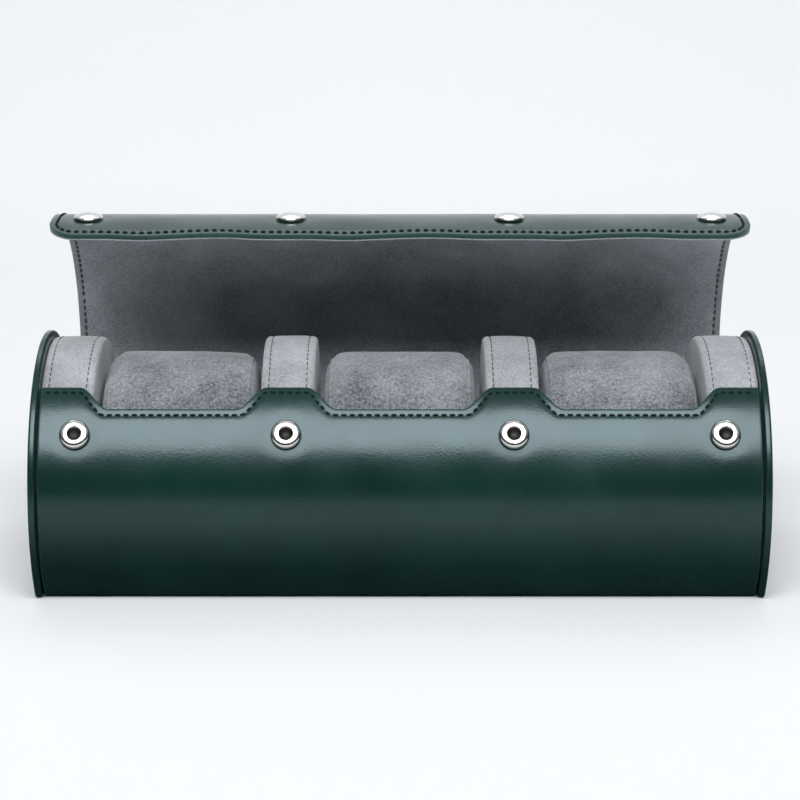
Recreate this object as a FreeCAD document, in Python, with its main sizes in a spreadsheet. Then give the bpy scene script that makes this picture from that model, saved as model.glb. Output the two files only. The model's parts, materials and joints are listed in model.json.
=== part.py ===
import FreeCAD, Part
import math
import os
import Sketcher

# A travel case for three watches: a round case with a flat base, whose back is one flexible flap
# that folds at the rear edge of the base, wraps over the top and snaps to the front.
# Frame: X along the case, -Y to the front, +Z up, the origin on the floor below the middle.

doc = FreeCAD.newDocument("watch_travel_case")
sheet = doc.addObject("Spreadsheet::Sheet", "Sizes")

SIZES = [
    # the round end discs and the case between them
    ("case_length", 240), ("disc_radius", 50), ("centre_height", 30),
    ("end_board", 1.5), ("end_leather", 1), ("end_edge_round", 0.45),
    # the bent wall: a flat base and a curved front with four tabs
    ("rim_proud", 1), ("skin_leather", 0.9), ("skin_board", 1.2), ("skin_lining", 0.6),
    ("tab_angle", 52.8), ("low_angle", 42.8),
    ("tab_top_width", 16), ("tab_base_width", 30),
    ("end_tab_top_width", 14.7), ("end_tab_base_width", 21.5),
    ("lining_drop_angle", 3),
    # the dividers; the middle slot is a little wider than the outer two
    ("divider_thickness", 17.5), ("divider_drop", 2.8), ("divider_back", 1.4),
    ("divider_up", 0.6), ("divider_round", 1.6), ("suede", 0.8), ("middle_slot_extra", 1.6),
    # the pillows
    ("pillow_side_gap", 1.3), ("pillow_wall_gap", 14), ("pillow_top_drop", 5),
    ("pillow_forward", 3), ("pillow_side_inset", 3.4),
    ("pillow_cover", 1), ("soft_clearance", 0.3),
    # the snap fasteners, one in front of each divider
    ("end_snap_inset", 12.5), ("snap_angle", 32),
    ("snap_radius", 5), ("cap_height", 1.9), ("cap_edge", 0.3), ("cap_round", 0.7),
    ("cap_seat", 0.02), ("stud_seat", 0.16),
    ("socket_height", 2), ("socket_flange", 0.6), ("socket_mouth_radius", 2.2),
    ("socket_crown_radius", 4), ("spring_wire", 0.3), ("spring_seat_radius", 2.8),
    ("post_radius", 1.7), ("post_clearance", 0.1), ("stud_radius", 1.8), ("stud_height", 1.9),
    ("stud_neck_radius", 1.4), ("stud_flange_radius", 4), ("back_flange_radius", 4.4),
    # the flap: closed it follows the discs a little outside them, open it stands in a wider curve
    ("flap_side_clearance", 0.3), ("flap_leather", 0.9), ("flap_board", 0.7), ("flap_lining", 0.6),
    ("flap_rise", 2), ("closed_shift_front", 0.98), ("closed_shift_up", 0.68),
    ("flap_edge_angle", 14.55), ("flap_opening", 9), ("fold_open_angle", 27.5),
    ("strip_gap", 0.8), ("fold_height", 1.2), ("fold_gap", 0.4),
    ("flap_corner_radius", 9.5), ("overrun", 5),
]
STRIPS = 5
SLOTS = ("left", "middle", "right")

for row, (alias, value) in enumerate(SIZES, start=1):
    sheet.set("A%d" % row, alias)
    sheet.set("B%d" % row, str(value))
    sheet.setAlias("B%d" % row, alias)
doc.recompute()
size = {alias: float(sheet.get(alias)) for alias, value in SIZES}

AXIS_X = FreeCAD.Vector(1, 0, 0)
AXIS_Z = FreeCAD.Vector(0, 0, 1)
ALONG_X = FreeCAD.Rotation(FreeCAD.Vector(1, 1, 1), 120)
ORIGIN = FreeCAD.Vector(0, 0, 0)
QUARTER_TURN = 90
HALF_TURN = 180
FULL_TURN = 360

# Sizes that follow from the driving ones.
end_thickness = size["end_board"] + size["end_leather"]
inner_length = size["case_length"] - 2 * end_thickness
padded_length = inner_length - 4 * size["divider_thickness"]
outer_slot = (padded_length - size["middle_slot_extra"]) / 3
middle_slot = outer_slot + size["middle_slot_extra"]
inner_divider_x = (middle_slot + size["divider_thickness"]) / 2
outer_slot_x = inner_divider_x + (size["divider_thickness"] + outer_slot) / 2
skin_outer = size["disc_radius"] - size["rim_proud"]
skin_wall = size["skin_leather"] + size["skin_board"]
floor_top = skin_wall + size["skin_lining"]
divider_radius = size["disc_radius"] - size["divider_drop"]
pillow_width = outer_slot - 2 * size["pillow_side_gap"]
flap_thickness = size["flap_leather"] + size["flap_board"] + size["flap_lining"]
flap_width = inner_length - 2 * size["flap_side_clearance"]
flap_closed_radius = size["disc_radius"] + size["flap_rise"]
flap_open_radius = flap_closed_radius + size["flap_opening"]
end_snap_x = inner_length / 2 - size["end_snap_inset"]
snap_places = (-end_snap_x, -inner_divider_x, inner_divider_x, end_snap_x)

# The same derived sizes as the sheet's formulas.
INNER = "(Sizes.case_length - 2 * (Sizes.end_board + Sizes.end_leather))"
OUTER_SLOT = "((" + INNER + " - 4 * Sizes.divider_thickness - Sizes.middle_slot_extra) / 3)"
MIDDLE_SLOT = "(" + OUTER_SLOT + " + Sizes.middle_slot_extra)"
INNER_DIVIDER_X = "((" + MIDDLE_SLOT + " + Sizes.divider_thickness) / 2)"
OUTER_SLOT_X = "(" + INNER_DIVIDER_X + " + (Sizes.divider_thickness + " + OUTER_SLOT + ") / 2)"
SKIN = "(Sizes.disc_radius - Sizes.rim_proud)"
DIVIDER_RADIUS = "(Sizes.disc_radius - Sizes.divider_drop)"
FLAP_CLOSED = "(Sizes.disc_radius + Sizes.flap_rise)"
FLAP_OPEN = "(" + FLAP_CLOSED + " + Sizes.flap_opening)"
FOLD_DROP = "(Sizes.centre_height + Sizes.closed_shift_up - Sizes.fold_height)"
FOLD_REACH = "sqrt(" + FLAP_CLOSED + " ^ 2 - " + FOLD_DROP + " ^ 2)"
STRIP_CLOSED = ("((1 deg * (180 - Sizes.flap_edge_angle) + asin(%s / %s)) / %d)"
                % (FOLD_DROP, FLAP_CLOSED, STRIPS))
STRIP_OPEN = "(2 * asin(%s * sin(%s / 2) / %s))" % (FLAP_CLOSED, STRIP_CLOSED, FLAP_OPEN)

nodes = []


def keep(shape_object, label):
    """Name an object as one of the real pieces of the case."""
    shape_object.Label = label
    nodes.append(shape_object)
    return shape_object


def bind(thing, **links):
    """Tie properties to the sheet."""
    for name, text in links.items():
        thing.setExpression(name.replace("__", "."), text)
    return thing


def solid_piece(label, shape):
    """A piece whose form comes from Part's own functions."""
    feature = doc.addObject("Part::Feature", label)
    feature.Shape = shape
    return feature


def new_body(label):
    body = doc.addObject("PartDesign::Body", label)
    bind(body, Placement__Base__z="Sizes.centre_height")
    return body


def new_sketch(body, role, label):
    plane = [item for item in body.Origin.OriginFeatures if item.Role == role][0]
    sketch = body.newObject("Sketcher::SketchObject", label)
    sketch.AttachmentSupport = [(plane, "")]
    sketch.MapMode = "FlatFace"
    return sketch


def tie(sketch, text, *constraint):
    """Add a constraint and bind its value to the sheet."""
    number = sketch.addConstraint(Sketcher.Constraint(*constraint))
    sketch.setExpression("Constraints[%d]" % number, text)


def point(radius, degrees, centre=(0, 0)):
    angle = math.radians(degrees)
    return FreeCAD.Vector(centre[0] + radius * math.cos(angle), centre[1] + radius * math.sin(angle), 0)


# Round pieces with a flat foot: the end discs and the dividers.
def footed_disc(label, radius, centre, foot, texts, length_text, x_text):
    """Pad a circle that is cut off flat at its foot; foot is its depth below the centre height."""
    body = new_body(label)
    bind(body, Placement__Base__x=x_text)
    sketch = new_sketch(body, "YZ_Plane", label + "_outline")
    half_angle = math.degrees(math.acos((foot + centre[1]) / radius))
    middle = FreeCAD.Vector(centre[0], centre[1], 0)
    circle = Part.Circle(middle, AXIS_Z, radius)
    first = half_angle - QUARTER_TURN
    last = HALF_TURN - first
    sketch.addGeometry(Part.ArcOfCircle(circle, math.radians(first), math.radians(last)), False)
    right = point(radius, first, centre)
    left = point(radius, last, centre)
    sketch.addGeometry(Part.LineSegment(left, right), False)
    sketch.addConstraint(Sketcher.Constraint("Coincident", 0, 2, 1, 1))
    sketch.addConstraint(Sketcher.Constraint("Coincident", 0, 1, 1, 2))
    sketch.addConstraint(Sketcher.Constraint("Horizontal", 1))
    tie(sketch, texts["radius"], "Radius", 0, radius)
    tie(sketch, texts["foot"], "DistanceY", 1, 1, -1, 1, foot)
    if "back" in texts:
        tie(sketch, texts["back"], "DistanceX", -1, 1, 0, 3, centre[0])
        tie(sketch, texts["up"], "DistanceY", -1, 1, 0, 3, centre[1])
    else:
        sketch.addConstraint(Sketcher.Constraint("Coincident", 0, 3, -1, 1))
    pad = body.newObject("PartDesign::Pad", label + "_pad")
    pad.Profile = sketch
    bind(pad, Length=length_text)
    doc.recompute()
    return body


def round_edges(body, text, at_x=None):
    """Round the curved edges of a pad, on both faces or only on the face at one end."""
    pad = body.Tip
    names = []
    for number, edge in enumerate(pad.Shape.Edges, start=1):
        spread = edge.BoundBox.XMax - edge.BoundBox.XMin
        if spread > 1e-6 or not isinstance(edge.Curve, Part.Circle):
            continue
        if at_x is None or abs(edge.BoundBox.XMin - at_x) < 1e-6:
            names.append("Edge%d" % number)
    fillet = body.newObject("PartDesign::Fillet", body.Name + "_round")
    fillet.Base = (pad, names)
    bind(fillet, Radius=text)
    doc.recompute()
    return body


def end_panel(side, sign):
    """One end of the case: a board inside, and leather outside that is turned over its edge."""
    foot = size["centre_height"]
    texts = {"radius": "Sizes.disc_radius", "foot": "Sizes.centre_height"}
    outer_x = "%d * Sizes.case_length / 2" % sign
    leather_x = outer_x if sign < 0 else outer_x + " - Sizes.end_leather"
    leather = footed_disc(side + "_end_leather", size["disc_radius"], (0, 0), foot, texts,
                          "Sizes.end_leather", leather_x)
    outer_face = 0 if sign < 0 else size["end_leather"]
    keep(round_edges(leather, "Sizes.end_edge_round", outer_face), side + "_end_leather")
    board_x = outer_x + (" + Sizes.end_leather" if sign < 0 else " - Sizes.end_leather - Sizes.end_board")
    board = footed_disc(side + "_end_board", size["disc_radius"], (0, 0), foot, texts,
                        "Sizes.end_board", board_x)
    keep(board, side + "_end_board")


def divider(name, start_text):
    """A padded divider: a foam and board core inside a suede cover."""
    centre = (size["divider_back"], size["divider_up"])
    foot = size["centre_height"] - floor_top
    foot_text = "Sizes.centre_height - Sizes.skin_leather - Sizes.skin_board - Sizes.skin_lining"
    outer = footed_disc(name + "_outside", divider_radius, centre, foot,
                        {"radius": DIVIDER_RADIUS, "foot": foot_text,
                         "back": "Sizes.divider_back", "up": "Sizes.divider_up"},
                        "Sizes.divider_thickness", start_text)
    round_edges(outer, "Sizes.divider_round")
    core = footed_disc(name + "_core", divider_radius - size["suede"], centre,
                       foot - size["suede"],
                       {"radius": DIVIDER_RADIUS + " - Sizes.suede",
                        "foot": foot_text + " - Sizes.suede",
                        "back": "Sizes.divider_back", "up": "Sizes.divider_up"},
                       "Sizes.divider_thickness - 2 * Sizes.suede", start_text + " + Sizes.suede")
    round_edges(core, "Sizes.divider_round - Sizes.suede")
    cover = doc.addObject("Part::Cut", name + "_cover")
    cover.Base = outer
    cover.Tool = core
    keep(core, name + "_core")
    keep(cover, name + "_cover")


# The bent wall: profiles of the base and the curved front, with the slots' notches cut between the tabs.
def bent_sheet(label, outside, thickness, texts, top_angle, rear, length_text):
    """Pad the side view of a sheet that is flat below and curves up the front, centred on X."""
    body = new_body(label)
    sketch = new_sketch(body, "YZ_Plane", label + "_profile")
    radius = skin_outer - outside
    inner = radius - thickness
    depth = size["centre_height"] - outside
    outer_end = HALF_TURN + math.degrees(math.asin(depth / radius))
    inner_end = HALF_TURN + math.degrees(math.asin((depth - thickness) / inner))
    start = HALF_TURN - top_angle
    for arc_radius, arc_end in ((radius, outer_end), (inner, inner_end)):
        circle = Part.Circle(ORIGIN, AXIS_Z, arc_radius)
        sketch.addGeometry(Part.ArcOfCircle(circle, math.radians(start), math.radians(arc_end)), False)
    bottom_rear = FreeCAD.Vector(rear, -depth, 0)
    top_rear = FreeCAD.Vector(rear, thickness - depth, 0)
    corners = [point(radius, outer_end), bottom_rear, top_rear, point(inner, inner_end)]
    for first, second in zip(corners, corners[1:]):
        sketch.addGeometry(Part.LineSegment(first, second), False)
    sketch.addGeometry(Part.LineSegment(point(inner, start), point(radius, start)), False)
    joins = ((0, 2, 2, 1), (2, 2, 3, 1), (3, 2, 4, 1), (4, 2, 1, 2), (1, 1, 5, 1), (5, 2, 0, 1))
    for join in joins:
        sketch.addConstraint(Sketcher.Constraint("Coincident", *join))
    for arc in (0, 1):
        sketch.addConstraint(Sketcher.Constraint("Coincident", arc, 3, -1, 1))
    for line, kind in ((2, "Horizontal"), (3, "Vertical"), (4, "Horizontal")):
        sketch.addConstraint(Sketcher.Constraint(kind, line))
    sketch.addConstraint(Sketcher.Constraint("PointOnObject", -1, 1, 5))
    tie(sketch, texts["radius"], "Radius", 0, radius)
    tie(sketch, texts["radius"] + " - " + texts["thickness"], "Radius", 1, inner)
    tie(sketch, texts["depth"], "DistanceY", 2, 2, -1, 1, depth)
    tie(sketch, texts["depth"] + " - " + texts["thickness"], "DistanceY", 3, 2, -1, 1, depth - thickness)
    tie(sketch, texts["rear"], "DistanceX", -1, 1, 2, 2, rear)
    tie(sketch, "180 - " + texts["top"], "Angle", 5, math.radians(start))
    pad = body.newObject("PartDesign::Pad", label + "_pad")
    pad.Profile = sketch
    pad.Midplane = True
    bind(pad, Length=length_text)
    doc.recompute()
    return body


def notch_polygons(sketch):
    """Three notches with slanted sides, one over each slot, pinned to the sheet corner by corner."""
    low = skin_outer * math.sin(math.radians(size["low_angle"]))
    top = skin_outer * math.sin(math.radians(size["tab_angle"]))
    over = top + size["overrun"]
    low_text = SKIN + " * sin(Sizes.low_angle)"
    top_text = SKIN + " * sin(Sizes.tab_angle)"
    over_text = top_text + " + Sizes.overrun"
    # Each notch side is the edge of a tab; tabs next to the ends have sizes of their own.
    end_x = inner_length / 2
    end_text = INNER + " / 2"
    inner_base = [inner_divider_x + way * size["tab_base_width"] / 2 for way in (-1, 1)]
    inner_top = [inner_divider_x + way * size["tab_top_width"] / 2 for way in (-1, 1)]
    base_text = [INNER_DIVIDER_X + " %s Sizes.tab_base_width / 2" % way for way in "-+"]
    tab_text = [INNER_DIVIDER_X + " %s Sizes.tab_top_width / 2" % way for way in "-+"]
    end_base = (end_x - size["end_tab_base_width"], end_text + " - Sizes.end_tab_base_width")
    end_top = (end_x - size["end_tab_top_width"], end_text + " - Sizes.end_tab_top_width")
    sides = {
        "left": ((-end_base[0], end_base[1], -end_top[0], end_top[1]),
                 (-inner_base[1], base_text[1], -inner_top[1], tab_text[1])),
        "middle": ((-inner_base[0], base_text[0], -inner_top[0], tab_text[0]),
                   (inner_base[0], base_text[0], inner_top[0], tab_text[0])),
        "right": ((inner_base[1], base_text[1], inner_top[1], tab_text[1]),
                  (end_base[0], end_base[1], end_top[0], end_top[1])),
    }
    first = 0
    for slot in SLOTS:
        left, right = sides[slot]
        corners = [(left[0], low, left[1], low_text), (right[0], low, right[1], low_text),
                   (right[2], top, right[3], top_text), (right[2], over, right[3], over_text),
                   (left[2], over, left[3], over_text), (left[2], top, left[3], top_text)]
        for number, corner in enumerate(corners):
            following = corners[(number + 1) % len(corners)]
            sketch.addGeometry(Part.LineSegment(FreeCAD.Vector(corner[0], corner[1], 0),
                                                FreeCAD.Vector(following[0], following[1], 0)), False)
        for number, corner in enumerate(corners):
            line = first + number
            after = first + (number + 1) % len(corners)
            sketch.addConstraint(Sketcher.Constraint("Coincident", line, 2, after, 1))
        for number, (x, z, x_text, z_text) in enumerate(corners):
            line = first + number
            tie(sketch, z_text, "DistanceY", -1, 1, line, 1, z)
            if x > 0:
                tie(sketch, x_text, "DistanceX", -1, 1, line, 1, x)
            else:
                tie(sketch, x_text, "DistanceX", line, 1, -1, 1, -x)
        first += len(corners)


def cut_notches(body):
    sheet_faces = len(body.Shape.Faces)
    sketch = new_sketch(body, "XZ_Plane", body.Name + "_notches")
    notch_polygons(sketch)
    pocket = body.newObject("PartDesign::Pocket", body.Name + "_notch_cut")
    pocket.Profile = sketch
    pocket.Type = "ThroughAll"
    pocket.Midplane = True
    doc.recompute()
    if len(body.Shape.Faces) == sheet_faces:
        raise SystemExit("the notches cut nothing from " + body.Label)
    return body


def pierced(label, base, tools):
    """Cut the rivet holes of the snaps out of a sheet."""
    cutters = doc.addObject("Part::Feature", label + "_punch")
    cutters.Shape = Part.makeCompound(tools)
    cut = doc.addObject("Part::Cut", label)
    cut.Base = base
    cut.Tool = cutters
    return cut


def radial(x, shape, placement=None):
    """Carry a turned piece, drawn with its axis on Z, to the snap's place at one X."""
    copy = shape.copy()
    copy.Placement = (placement or FreeCAD.Placement()).multiply(snap_frame(x)).multiply(copy.Placement)
    return copy


def snap_frame(x):
    """The frame of one closed snap: its origin on the front leather, its Z axis out of the case."""
    lean = size["snap_angle"]
    outward = FreeCAD.Vector(0, -math.cos(math.radians(lean)), math.sin(math.radians(lean)))
    base = FreeCAD.Vector(x, 0, size["centre_height"]) + outward * skin_outer
    return FreeCAD.Placement(base, FreeCAD.Rotation(AXIS_X, QUARTER_TURN - lean))


def turned(points):
    """Revolve a closed outline of (radius, height) corners about Z."""
    corners = [FreeCAD.Vector(radius, 0, height) for radius, height in points]
    face = Part.Face(Part.makePolygon(corners + corners[:1]))
    return face.revolve(ORIGIN, AXIS_Z, FULL_TURN)


def row_of_snaps(label, shape, placement=None):
    group = Part.makeCompound([radial(x, shape, placement) for x in snap_places])
    return keep(solid_piece(label, group), label)


# The flap: strips of leather, board and suede that bend on one another.
def flap_frames():
    """The fold line, the open flap's centre, each strip's open angle, and the last strip's closing motion."""
    closed_centre = (-size["closed_shift_front"], size["centre_height"] + size["closed_shift_up"])
    drop = closed_centre[1] - size["fold_height"]
    reach = math.sqrt(flap_closed_radius ** 2 - drop ** 2)
    fold = FreeCAD.Vector(0, closed_centre[0] + reach, size["fold_height"])
    lean = math.radians(size["fold_open_angle"])
    centre = fold + FreeCAD.Vector(0, -math.sin(lean), math.cos(lean)) * flap_open_radius
    fold_place = math.degrees(math.asin(drop / flap_closed_radius))
    strip_closed = (HALF_TURN - size["flap_edge_angle"] + fold_place) / STRIPS
    half_chord = flap_closed_radius * math.sin(math.radians(strip_closed / 2))
    strip_open = 2 * math.degrees(math.asin(half_chord / flap_open_radius))
    fold_turn = QUARTER_TURN - fold_place - size["fold_open_angle"] + (strip_closed - strip_open) / 2
    bend_turn = strip_closed - strip_open
    motion = turn_about(fold, fold_turn)
    for number in range(1, STRIPS):
        hinge = rim_point(centre, number * strip_open)
        motion = motion.multiply(turn_about(hinge, bend_turn))
    return fold, centre, strip_open, motion, fold_turn, bend_turn


def turn_about(place, degrees):
    return FreeCAD.Placement(ORIGIN, FreeCAD.Rotation(AXIS_X, degrees), place)


def rim_point(centre, degrees):
    """A point in the middle of the open flap's thickness, at an angle along it from the fold."""
    angle = math.radians(size["fold_open_angle"] - QUARTER_TURN + degrees)
    return centre + FreeCAD.Vector(0, math.cos(angle), math.sin(angle)) * flap_open_radius


def strip_layer(label, number, centre, strip_open, outer_text, inner_text):
    """One layer of one strip: a sector of a thin tube, a little short of the strip's ends."""
    cylinders = []
    gaps_text = "Sizes.fold_gap" if number == 0 else "Sizes.strip_gap / 2"
    if number < STRIPS - 1:
        gaps_text += " + Sizes.strip_gap / 2"
    angle_text = "%s - 180 deg / pi * (%s) / %s" % (STRIP_OPEN, gaps_text, FLAP_OPEN)
    gap = size["fold_gap"] if number == 0 else size["strip_gap"] / 2
    start = (size["fold_open_angle"] - QUARTER_TURN + number * strip_open
             + math.degrees(gap / flap_open_radius))
    base = centre + FreeCAD.Vector(-flap_width / 2, 0, 0)
    placement = FreeCAD.Placement(base, FreeCAD.Rotation(AXIS_X, start).multiply(ALONG_X))
    for part_name, text in (("outside", outer_text), ("inside", inner_text)):
        cylinder = doc.addObject("Part::Cylinder", "%s_%s" % (label, part_name))
        bind(cylinder, Radius=text, Angle=angle_text,
             Height=INNER + " - 2 * Sizes.flap_side_clearance")
        cylinder.Placement = placement
        cylinders.append(cylinder)
    layer = doc.addObject("Part::Cut", label)
    layer.Base, layer.Tool = cylinders
    doc.recompute()
    return layer


def corner_punches(centre, strip_open):
    """What rounding the two corners of the flap's free edge takes away."""
    radius = size["flap_corner_radius"]
    reach = size["overrun"]
    end_angle = size["fold_open_angle"] - QUARTER_TURN + STRIPS * strip_open
    edge = rim_point(centre, STRIPS * strip_open)
    # Local frame: X along the flap's edge, Y back into the flap, Z through its thickness.
    frame = FreeCAD.Placement(edge, FreeCAD.Rotation(AXIS_X, end_angle - QUARTER_TURN).multiply(
        FreeCAD.Rotation(AXIS_Z, HALF_TURN)))
    punches = []
    for way in (-1, 1):
        inner_x = way * (flap_width / 2 - radius)
        low_x = inner_x if way > 0 else inner_x - radius - reach
        block = Part.makeBox(radius + reach, radius + reach, 2 * reach,
                             FreeCAD.Vector(low_x, -reach, -reach))
        disc = Part.makeCylinder(radius, 2 * reach, FreeCAD.Vector(inner_x, radius, -reach), AXIS_Z)
        corner = block.cut(disc)
        corner.Placement = frame
        punches.append(corner)
    return punches


def flap(centre, strip_open, opened):
    half = "(Sizes.flap_leather + Sizes.flap_board + Sizes.flap_lining) / 2"
    outer = FLAP_OPEN + " + " + half
    board_outer = outer + " - Sizes.flap_leather"
    lining_outer = FLAP_OPEN + " - " + half + " + Sizes.flap_lining"
    layers = (("leather", outer, board_outer),
              ("board", board_outer, lining_outer),
              ("lining", lining_outer, FLAP_OPEN + " - " + half))
    for number in range(STRIPS):
        for name, outer_text, inner_text in layers:
            label = "flap_strip_%d_%s" % (number + 1, name)
            last = number == STRIPS - 1
            plain = label + "_plain" if last else label
            layer = strip_layer(plain, number, centre, strip_open, outer_text, inner_text)
            if last:
                hole = size["stud_flange_radius"] if name == "lining" else size["post_radius"]
                hole += size["post_clearance"]
                punch = Part.makeCylinder(hole, flap_open_radius, ORIGIN, AXIS_Z)
                tools = [radial(x, punch, opened) for x in snap_places]
                layer = pierced(label, layer, tools + corner_punches(centre, strip_open))
            keep(layer, label)
    doc.recompute()


def flap_snaps(centre, opened):
    """Caps outside and studs inside, on the axes that meet the sockets when the flap is closed."""
    start = opened.multVec(snap_frame(0).Base)
    along = opened.Rotation.multVec(snap_frame(0).Rotation.multVec(AXIS_Z))
    # Where the snap's axis leaves the flap's outer and inner faces, measured from the socket's foot.
    def crossing(radius):
        offset = start - centre
        across = offset.dot(along)
        return -across + math.sqrt(across ** 2 - offset.dot(offset) + radius ** 2)
    outside = crossing(flap_open_radius + flap_thickness / 2) + size["cap_seat"]
    inside = crossing(flap_open_radius - flap_thickness / 2)
    board_face = crossing(flap_open_radius - flap_thickness / 2 + size["flap_lining"])
    # The stud's flat flange lies a little under the hollow face of the board.
    board_face -= size["stud_seat"]
    radius = size["snap_radius"]
    crown = outside + size["cap_height"]
    edge = outside + size["cap_edge"]
    # The dome: a rounded rim, and a crown whose centre lies on the snap's axis.
    turn = size["cap_round"]
    rim = radius - turn
    rise = crown - edge - turn
    dome_radius = (rim ** 2 + rise ** 2) / (2 * rise)
    rim_middle = turn / math.sqrt(2)
    half_rim = rim / 2
    half_height = crown - dome_radius + math.sqrt(dome_radius ** 2 - half_rim ** 2)
    rim_arc = Part.Arc(FreeCAD.Vector(radius, 0, edge),
                       FreeCAD.Vector(rim + rim_middle, 0, edge + rim_middle),
                       FreeCAD.Vector(rim, 0, edge + turn)).toShape()
    crown_arc = Part.Arc(FreeCAD.Vector(rim, 0, edge + turn),
                         FreeCAD.Vector(half_rim, 0, half_height),
                         FreeCAD.Vector(0, 0, crown)).toShape()
    lines = Part.makePolygon([FreeCAD.Vector(0, 0, crown), FreeCAD.Vector(0, 0, board_face),
                              FreeCAD.Vector(size["post_radius"], 0, board_face),
                              FreeCAD.Vector(size["post_radius"], 0, outside),
                              FreeCAD.Vector(radius, 0, outside), FreeCAD.Vector(radius, 0, edge)])
    face = Part.Face(Part.Wire([rim_arc, crown_arc] + lines.Edges))
    cap = face.revolve(ORIGIN, AXIS_Z, FULL_TURN)
    row_of_snaps("snap_caps", cap, opened)
    tip = inside - size["stud_height"]
    bulb = size["stud_radius"]
    stud = turned([(0, board_face), (size["stud_flange_radius"], board_face),
                   (size["stud_flange_radius"], inside), (size["stud_neck_radius"], inside),
                   (size["stud_neck_radius"], tip + size["stud_height"] / 2), (bulb, tip + bulb / 3),
                   (bulb * 2 / 3, tip), (0, tip)])
    row_of_snaps("snap_studs", stud, opened)


def sockets():
    """Sockets on the front, each with a ring spring inside and a rivet from behind the leather."""
    radius = size["snap_radius"]
    flange = size["socket_flange"]
    height = size["socket_height"]
    mouth = size["socket_mouth_radius"]
    wire = size["spring_wire"]
    seat = size["spring_seat_radius"]
    lip = height - 2 * wire - flange
    floor = flange / 2
    ring = turned([(0, 0), (radius, 0), (radius, flange), (size["socket_crown_radius"], height),
                   (mouth, height), (mouth, height - lip / 2), (seat, height - lip / 2),
                   (seat, floor), (0, floor)])
    row_of_snaps("snap_sockets", ring)
    coil = Part.makeTorus(seat - wire - size["post_clearance"], wire,
                          FreeCAD.Vector(0, 0, floor + wire), AXIS_Z)
    row_of_snaps("snap_spring_rings", coil)
    leather = size["skin_leather"]
    rim = size["back_flange_radius"]
    back = turned([(0, 0), (size["post_radius"], 0), (size["post_radius"], -leather - flange / 2),
                   (rim, -leather - flange / 2), (rim, -leather - flange), (0, -leather - flange)])
    row_of_snaps("snap_rivets", back)


# The pillows: crowned rolls whose sides draw in, lofted through ovals of lines and arcs.
def oval(x, centre, half_depth, half_height, corner):
    """An oval wire in the plane of one X, of four lines and four quarter arcs."""
    y, z = centre
    flat_y = half_depth - corner
    flat_z = half_height - corner
    diagonal = corner / math.sqrt(2)
    edges = []
    turns = ((1, 1), (-1, 1), (-1, -1), (1, -1))
    ends = []
    for way_y, way_z in turns:
        mid_y = y + way_y * flat_y
        mid_z = z + way_z * flat_z
        side = FreeCAD.Vector(x, mid_y + way_y * corner, mid_z)
        crown = FreeCAD.Vector(x, mid_y, mid_z + way_z * corner)
        middle = FreeCAD.Vector(x, mid_y + way_y * diagonal, mid_z + way_z * diagonal)
        first, last = (side, crown) if way_y * way_z > 0 else (crown, side)
        ends.append((first, last))
        edges.append(Part.Arc(first, middle, last).toShape())
    wire = []
    for number, edge in enumerate(edges):
        wire.append(edge)
        wire.append(Part.makeLine(ends[number][1], ends[(number + 1) % len(ends)][0]))
    return Part.Wire(wire)


# Where the ovals stand across a pillow's half width, and how far each draws in from the crown.
PILLOW_PLACE_SHARES = (0, 0.45, 0.8, 0.94, 1)
PILLOW_INSET_SHARES = (0, 0.12, 0.4, 0.68, 1)
PILLOW_CORNER_SHARE = 0.86


def pillow_solid(middle_x, shrink):
    """One pillow's form; shrink draws the whole of it in, for the core inside the cover."""
    bottom = floor_top + size["soft_clearance"]
    top = size["centre_height"] + size["disc_radius"] - size["rim_proud"] - size["pillow_top_drop"]
    half_height = (top - bottom) / 2
    centre = (-size["pillow_forward"], bottom + half_height)
    half_width = pillow_width / 2 - shrink
    places = [-share for share in reversed(PILLOW_PLACE_SHARES[1:])] + list(PILLOW_PLACE_SHARES)
    insets = list(reversed(PILLOW_INSET_SHARES[1:])) + list(PILLOW_INSET_SHARES)
    wires = []
    for place, inset in zip(places, insets):
        inward = shrink + inset * size["pillow_side_inset"]
        depth = size["disc_radius"] - size["pillow_wall_gap"] - inward
        height = half_height - inward
        wires.append(oval(middle_x + place * half_width, centre, depth, height,
                          PILLOW_CORNER_SHARE * min(depth, height)))
    return Part.makeLoft(wires, True, False)


def pillow(slot, middle_x):
    outside = pillow_solid(middle_x, 0)
    inside = pillow_solid(middle_x, size["pillow_cover"])
    keep(solid_piece(slot + "_pillow_core", inside), slot + "_pillow_core")
    keep(solid_piece(slot + "_pillow_cover", outside.cut(inside)), slot + "_pillow_cover")


# Build the case from the ends inward.
end_panel("left", -1)
end_panel("right", 1)

fold, flap_centre, strip_open, closing, fold_turn, bend_turn = flap_frames()
opened = closing.inverse()
flap(flap_centre, strip_open, opened)

leather_rear = fold.y - size["fold_gap"]
leather_texts = {"radius": SKIN, "thickness": "Sizes.skin_leather", "depth": "Sizes.centre_height",
                 "top": "Sizes.tab_angle",
                 "rear": FOLD_REACH + " - Sizes.closed_shift_front - Sizes.fold_gap"}
leather = cut_notches(bent_sheet("case_leather_sheet", 0, size["skin_leather"], leather_texts,
                                 size["tab_angle"], leather_rear, INNER))
board_rear = math.sqrt(skin_outer ** 2 - size["centre_height"] ** 2)
board_rear_text = "sqrt(" + SKIN + " ^ 2 - Sizes.centre_height ^ 2)"
board_texts = {"radius": SKIN + " - Sizes.skin_leather", "thickness": "Sizes.skin_board",
               "depth": "Sizes.centre_height - Sizes.skin_leather", "top": "Sizes.tab_angle",
               "rear": board_rear_text}
board = cut_notches(bent_sheet("case_board_sheet", size["skin_leather"], size["skin_board"], board_texts,
                               size["tab_angle"], board_rear, INNER))

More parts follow.
